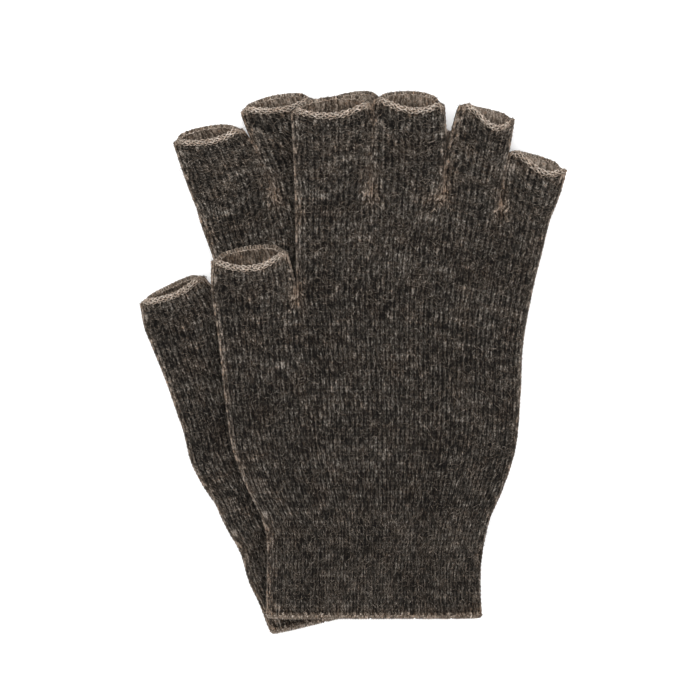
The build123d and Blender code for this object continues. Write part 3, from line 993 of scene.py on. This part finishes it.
# The light yarns of a mouth's edge: how far along the tube and out of its wall, the phase and the radius
EDGE_ROWS = ((-1.25, 0.80, 0, 0.15), (-0.6, 0.84, math.pi, 0.21), (0.1, 0.86, 0.5, 0.22), (0.62, 0.66, 3.4, 0.19))


def make_edge(glove, f):
    """A dark core under wavy light yarns, one more yarn inside the mouth, and loose fibres."""
    name = f"{glove.side}_{f}_edge"
    piece = Piece(name + "_loops")
    centre, along, out, wall, wales, painted_shade = rim_frame(glove, f, back=0.9, inward=0.72)
    mouth = (centre, along, out, wall)
    turn = wales * 2 * math.pi
    seed = FINGERS.index(f) * 5 + (0 if glove.side == "left" else 40)
    strand(piece, centre, 0.80, (0, 0, 1, 0.16), seed, sides=8, material=1, lumps=0.14)
    rng = np.random.default_rng(500 + seed)
    thin = 1 - 0.8 * np.clip(painted_shade, 0, 1)
    for k, (along_tube, proud, phase, size) in enumerate(EDGE_ROWS):
        loose = 0.19 * np.sin(turn + phase) * (0.4 + 1.2 * rng.random(len(wales)))
        loose = loose + 0.10 * rng.normal(0, 1, len(wales))
        path = centre + out * (along_tube + loose)[:, None] + wall * (proud * thin)[:, None]
        box = (0, 0.18 + 0.125 * k, 1, 0.295 + 0.125 * k)
        # painted shade, a quarter more on the row that lies furthest back inside the tube
        shade = np.clip(painted_shade + (0.25 if k == 0 else 0.0), 0, 1)
        strand(piece, path, size, box, seed + k + 1, sides=5, lumps=0.45, painted_shade=shade)
    inner, _, out, _, wales, painted_shade = rim_frame(glove, f, back=1.5, inward=WALL + 0.20)
    zigzag = np.sin(wales * 2 * math.pi) * 0.18 + 0.3 * (rng.random(len(wales)) - 0.5)
    path = inner + out * zigzag[:, None]
    # the yarn inside the mouth takes the same painted shade, at most 0.6
    strand(piece, path, 0.22, (0, 0.69, 1, 0.80), seed + 7, lumps=0.4, painted_shade=np.clip(painted_shade, 0, 0.6))
    rim_hairs(piece, *mouth, 44 * WALES[f], (0, 0.82, 1, 1.0), seed)
    attach(piece.make([edge_yarn, hem_yarn, hair]), name, f"{glove.side}_{f}")


def cut_piece(name, glove, stretches, most_hairs=math.inf):
    """A piece made of several stretches, each with its share of the bake map."""
    piece = Piece(name)
    for stretch, (a, b) in stretches:
        fingers, v0, v1 = stretch
        count = min(sum(WALES[f] for f in fingers) * 1.9 * (v1 - v0) * COURSE * HAIRS_PER_AREA, most_hairs)
        hair_box = (0.80, 0.8 + 0.2 * a, 1.0, 0.8 + 0.2 * b)
        add_layer_pair(piece, glove, stretch, 0.0, FACE, (0.0, a, 0.78, b), hairs=count, hair_box=hair_box)
        box = (0.80, 0.78 * a, 1.0, 0.78 * b)
        add_layer_pair(piece, glove, stretch, WALL, PURL, box, relief=0.0, steps=(COLS, ROWS))
    thing = piece.make([knit_face, knit_purl, hair])
    weld(thing)
    return thing


def build(glove):
    side = glove.side
    cuff_body = "left_cuff" if side == "left" else "right_hand"
    palm_start = CUFF_COURSES + 4
    split = THUMB_TOP - STUB_COURSES
    stretches = [((FINGERS, palm_start, split), (0.0, 0.90)), ((FINGERS[1:], split, THUMB_TOP), (0.92, 1.0))]
    palm = cut_piece(side + "_palm_knit", glove, stretches, most_hairs=1900)
    attach(palm, side + "_palm", glove.hand)
    stretch = (FINGERS[1:], THUMB_TOP, KNUCKLE_TOP - STUB_COURSES)
    finger_palm = cut_piece(side + "_finger_palm_knit", glove, [(stretch, (0.0, 1.0))])
    attach(finger_palm, side + "_finger_palm", glove.hand)
    cuff = cut_piece(side + "_cuff_knit", glove, [((FINGERS, 1, palm_start), (0.0, 1.0))])
    attach(cuff, side + "_cuff", None if side == "left" else cuff_body)
    if side == "left":
        low, high = glove.place(1.25, CUFF - BEND_ABOVE, 0.0), glove.place(1.25, CUFF + BEND_BELOW, 0.0)
        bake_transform(cuff)
    for f in FINGERS:
        make_finger(glove, f)
        make_edge(glove, f)
    make_welt(glove, cuff_body)
    make_elastic(glove, cuff_body)
    make_stitches(glove)


def loop_at(glove, v, inward, per_wale=3):
    """The closed line round the cuff at a course, at a depth below the fabric's face."""
    pts = []
    for face in (1, -1):
        for f in FINGERS if face > 0 else FINGERS[::-1]:
            n = WALES[f] * per_wale
            q = np.arange(n) / n
            if face < 0:
                q = 1 - q
            x, y, e, _ = plan(glove, f, q, np.full(n, float(v)), face)
            pts.append(face_point(glove, x, y, e, face))
    pts = np.concatenate(pts)
    finger_way = unit(glove.place(0, 10, 0) - glove.place(0, 0, 0))
    wall = outwards(pts, np.cross(finger_way[None], round_loop(pts)))
    return pts - wall * inward, finger_way, wall


def make_welt(glove, body):
    piece = Piece(glove.side + "_cuff_welt_roll")
    centre, way, wall = loop_at(glove, 1.1, 0.85, per_wale=4)
    n = len(centre)
    wale = np.arange(n) / 4
    ring = 14
    angle = np.arange(ring + 1) / ring * 2 * math.pi
    bulge = 1.0 + 0.09 * np.cos(2 * math.pi * wale)[:, None] * np.ones(ring + 1)
    bulge = bulge + 0.10 * (hashed(np.floor(wale * 2)[:, None], np.floor(angle * 2.2)[None], 4) - 0.5)
    roll = way * (np.sin(angle) * 1.22)[None, :, None] + wall[:, None] * (np.cos(angle) * 0.98)[None, :, None]
    roll = centre[:, None] + roll * bulge[..., None]
    roll[:, -1] = roll[:, 0]
    roll = np.concatenate([roll, roll[:1]])
    m = len(roll)
    u = np.broadcast_to((np.arange(m) / (m - 1))[:, None], (m, ring + 1))
    w = np.broadcast_to((np.arange(ring + 1) / ring)[None], (m, ring + 1))
    knit = np.stack([np.arange(m)[:, None] / 4 + 0 * w, w * 5], -1)
    faces = quads(m, ring + 1)
    piece.add(roll, faces, knit, np.stack([u, 0.02 + 0.42 * w], -1))
    low_way = np.broadcast_to(-way, centre.shape)
    rim_hairs(piece, centre, round_loop(centre), low_way, wall, 1500, (0, 0.46, 1, 0.56), 9)
    for k in range(2):
        turn = wale * 2 * math.pi + math.pi * k
        path = centre + way * (-0.55 + 0.85 * np.sin(turn))[:, None]
        path = path + wall * (0.55 + 0.62 * np.cos(turn))[:, None]
        strand(piece, path, 0.27, (0, 0.58 + 0.21 * k, 1, 0.76 + 0.22 * k), 60 + k, material=1)
    thing = piece.make([hem_yarn, hem_strand, hair])
    weld(thing)
    attach(thing, glove.side + "_cuff_welt", body)


def make_elastic(glove, body):
    piece = Piece(glove.side + "_cuff_elastic_yarn")
    for row in range(5):
        y = 2.6 + 5.6 * (row + 0.5) + 0.35
        centre, way, _ = loop_at(glove, y / COURSE, WALL + 0.35)
        n = len(centre)
        path = centre + way[None] * (0.25 * np.sin(np.arange(n) * 2 * math.pi / 3))[:, None]
        strand(piece, path, 0.32, (0, row / 5, 1, row / 5 + 0.18), row)
    attach(piece.make([dark_yarn]), glove.side + "_cuff_elastic", body)


def make_stitches(glove):
    piece = Piece(glove.side + "_crotch_joins")
    rng = np.random.default_rng(70 if glove.side == "left" else 71)
    total = STITCHES * 2 * len(FAT_STITCHES)
    k = 0
    for f in FAT_STITCHES:
        top = THUMB_TOP if f == "index" else KNUCKLE_TOP
        other = FINGERS[FINGERS.index(f) - 1]
        for face in (1, -1):
            for number in range(STITCHES):
                w0, v0 = rng.uniform(-1.9, 1.9), top - rng.uniform(-1.2, 5.6)
                size, lean, thick = rng.uniform(0.6, 1.2), rng.uniform(-0.8, 0.7), rng.uniform(0.13, 0.22)
                if number < FAT_STITCHES[f]:
                    w0 = -1.2 + 0.85 * number + rng.uniform(-0.15, 0.15)
                    v0 = top - 1.7 + rng.uniform(-0.8, 0.8)
                    size, lean, thick = size * 0.6 + 0.75, rng.uniform(0.5, 0.9) * face, thick + 0.22
                t = np.linspace(0, 1, 8)
                v = v0 + size * (t - 0.5)
                w = w0 + lean * (t - 0.5) + 0.15 * np.sin(t * math.pi)
                pts = np.empty((len(t), 3))
                left = w < 0
                for mask, g, base in ((left, other, WALES[other]), (~left, f, 0)):
                    if mask.any():
                        x, y, e, _ = plan(glove, g, (base + w[mask]) / WALES[g], v[mask], face)
                        lift = 0.26 * np.sin(t[mask] * math.pi) - 0.02
                        pts[mask] = glove.place(x, y, (HALF_THICK * e - 0.05 + lift) * face)
                box = (0, k / total, 1, (k + 0.8) / total)
                strand(piece, pts, thick, box, k, closed=False, lumps=0.3)
                k += 1
    attach(piece.make([join_yarn]), glove.side + "_crotch_stitches", glove.hand)


for side in ("right", "left"):
    build(Glove(side))

# ---- Stage
low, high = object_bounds()


def make_floor():
    mesh = bpy.data.meshes.new("floor")
    corners = [(-3.0, -3.0, 0), (3.0, -3.0, 0), (3.0, 3.0, 0), (-3.0, 3.0, 0)]
    mesh.from_pydata(corners, [], [(0, 1, 2, 3)])
    floor = bpy.data.objects.new("floor", mesh)
    bpy.context.scene.collection.objects.link(floor)
    material = bpy.data.materials.new("floor_paper")
    material.use_nodes = True
    shader = material.node_tree.nodes["Principled BSDF"]
    shader.inputs["Base Color"].default_value = (0.93, 0.93, 0.93, 1)
    shader.inputs["Roughness"].default_value = 0.9
    shader.inputs["Emission Color"].default_value = (1, 1, 1, 1)
    shader.inputs["Emission Strength"].default_value = 0.22
    mesh.materials.append(material)
    floor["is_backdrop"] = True
    return floor


floor = make_floor()
floor.location.z = min(0.0, low.z) - 0.0001


def area_light(name, place, size, power):
    lamp = bpy.data.lights.new(name, "AREA")
    lamp.shape = "DISK"
    lamp.size = size
    lamp.energy = power
    thing = bpy.data.objects.new(name, lamp)
    thing.location = place
    thing.rotation_mode = "QUATERNION"
    thing.rotation_quaternion = (Vector((0, 0, 0)) - Vector(place)).to_track_quat("-Z", "Y")
    bpy.context.scene.collection.objects.link(thing)


area_light("key", (-0.25, 0.45, 0.9), 1.0, 5.0)
area_light("fill", (0.45, -0.4, 0.9), 1.0, 3.5)
world = bpy.data.worlds.new("studio")
world.use_nodes = True
world.node_tree.nodes["Background"].inputs["Color"].default_value = (1, 1, 1, 1)
world.node_tree.nodes["Background"].inputs["Strength"].default_value = 1.05
bpy.context.scene.world = world
bpy.context.scene.view_settings.view_transform = "Standard"

camera_data = bpy.data.cameras.new("camera")
camera_data.lens = 85
camera_data.sensor_width = 36
camera = bpy.data.objects.new("camera", camera_data)
distance = TABLE_VIEW * MM / 2 / math.tan(math.atan(18 / 85))
camera.location = (0.0004, 0.0018, 0.012 + distance)
camera.rotation_euler = (0, 0, 0)
camera_data.clip_start, camera_data.clip_end = 0.01, 20
bpy.context.scene.collection.objects.link(camera)
bpy.context.scene.camera = camera

low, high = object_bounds()
